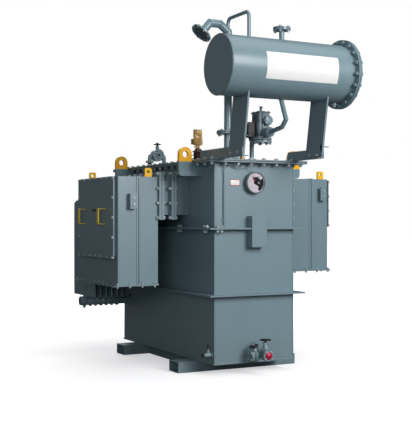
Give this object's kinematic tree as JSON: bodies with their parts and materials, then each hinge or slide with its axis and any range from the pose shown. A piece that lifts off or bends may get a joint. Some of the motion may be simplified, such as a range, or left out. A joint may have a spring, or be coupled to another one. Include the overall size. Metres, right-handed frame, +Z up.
{
  "type": "power transformer",
  "caption": "Oil-filled power transformer: welded tank on skids with bolted cover, side cable boxes, rear radiators, conservator on legs, gas relay, vent, valves and lifting lugs.",
  "frame": {"origin": "on the ground, at the middle of the whole footprint", "axes": "+Z up; +Y from the conservator end to the radiator end, along the tank; +X across the tank, from the larger cable box to the smaller one"},
  "size_m": [2.077, 2.53, 2.6755],
  "materials": {
    "grey_paint": "glossy blue-grey enamel",
    "lug_paint": "glossy yellow enamel",
    "wheel_black": "black enamel",
    "cap_red": "moulded",
    "brass": "machined, dull",
    "porcelain": "brown glaze",
    "dial_case": "dark grey enamel",
    "dial_face": "printed card",
    "window_glass": "clear",
    "bolt_steel": "zinc plated",
    "gasket_rubber": "black",
    "terminal_box": "dark enamel",
    "label_white": "blank plate"
  },
  "bodies": {
    "tank": {"front_skid": "grey_paint", "rear_skid": "grey_paint", "base_runners": "grey_paint", "tank_floor": "grey_paint", "tank_front_wall": "grey_paint", "tank_rear_wall": "grey_paint", "tank_left_wall": "grey_paint", "tank_right_wall": "grey_paint", "tank_rim": "grey_paint", "tank_cover": "grey_paint", "lower_stiffener": "grey_paint", "upper_stiffener": "grey_paint", "front_bracket": "grey_paint", "tank_lugs": "lug_paint", "left_throat": "grey_paint", "right_throat": "grey_paint", "throat_necks": "grey_paint", "left_cable_box": "grey_paint", "right_cable_box": "grey_paint", "left_box_cover": "grey_paint", "right_box_cover": "grey_paint", "box_handles": "lug_paint", "left_gland_plate": "grey_paint", "right_gland_plate": "grey_paint", "box_lugs": "lug_paint", "earth_pads": "grey_paint", "left_radiator_fins": "grey_paint", "right_radiator_fins": "grey_paint", "radiator_headers": "grey_paint", "conservator_shell": "grey_paint", "conservator_left_end": "grey_paint", "conservator_flange": "grey_paint", "conservator_end_cover": "grey_paint", "filler": "grey_paint", "conservator_arms": "grey_paint", "conservator_legs": "grey_paint", "vent_pipe": "grey_paint", "vent_bell": "grey_paint", "equalizer_pipe": "grey_paint", "relay_body": "grey_paint", "relay_terminal_box": "terminal_box", "relay_inlet_pipe": "grey_paint", "relay_outlet_pipe": "grey_paint", "drain_valve": "grey_paint", "drain_cap": "cap_red", "sampling_valve": "grey_paint", "filter_valve": "grey_paint", "neutral_bushing": "porcelain", "terminal_palm": "brass", "dial_thermometer": "dial_case", "thermometer_pocket": "brass", "capillary_tube": "grey_paint", "earth_stub": "grey_paint"},
    "drain_wheel": {"drain_handwheel": "wheel_black"},
    "sampling_wheel": {"sampling_handwheel": "wheel_black"},
    "filter_wheel": {"filter_handwheel": "wheel_black"}
  },
  "joints": [
    {"name": "drain_turn", "type": "hinge", "parent": "tank", "child": "drain_wheel", "pos_m": [0.0025, -0.759, 0.248], "axis": [0, 0, 1], "range_deg": [0, 2475]},
    {"name": "sampling_turn", "type": "hinge", "parent": "tank", "child": "sampling_wheel", "pos_m": [-0.06704, -0.714, 0.20106], "axis": [-0.309, 0, 0.9511], "range_deg": [0, 1395]},
    {"name": "filter_turn", "type": "hinge", "parent": "tank", "child": "filter_wheel", "pos_m": [-0.1955, 0.737, 1.802], "axis": [0, 0, 1], "range_deg": [0, 2115]}
  ]
}
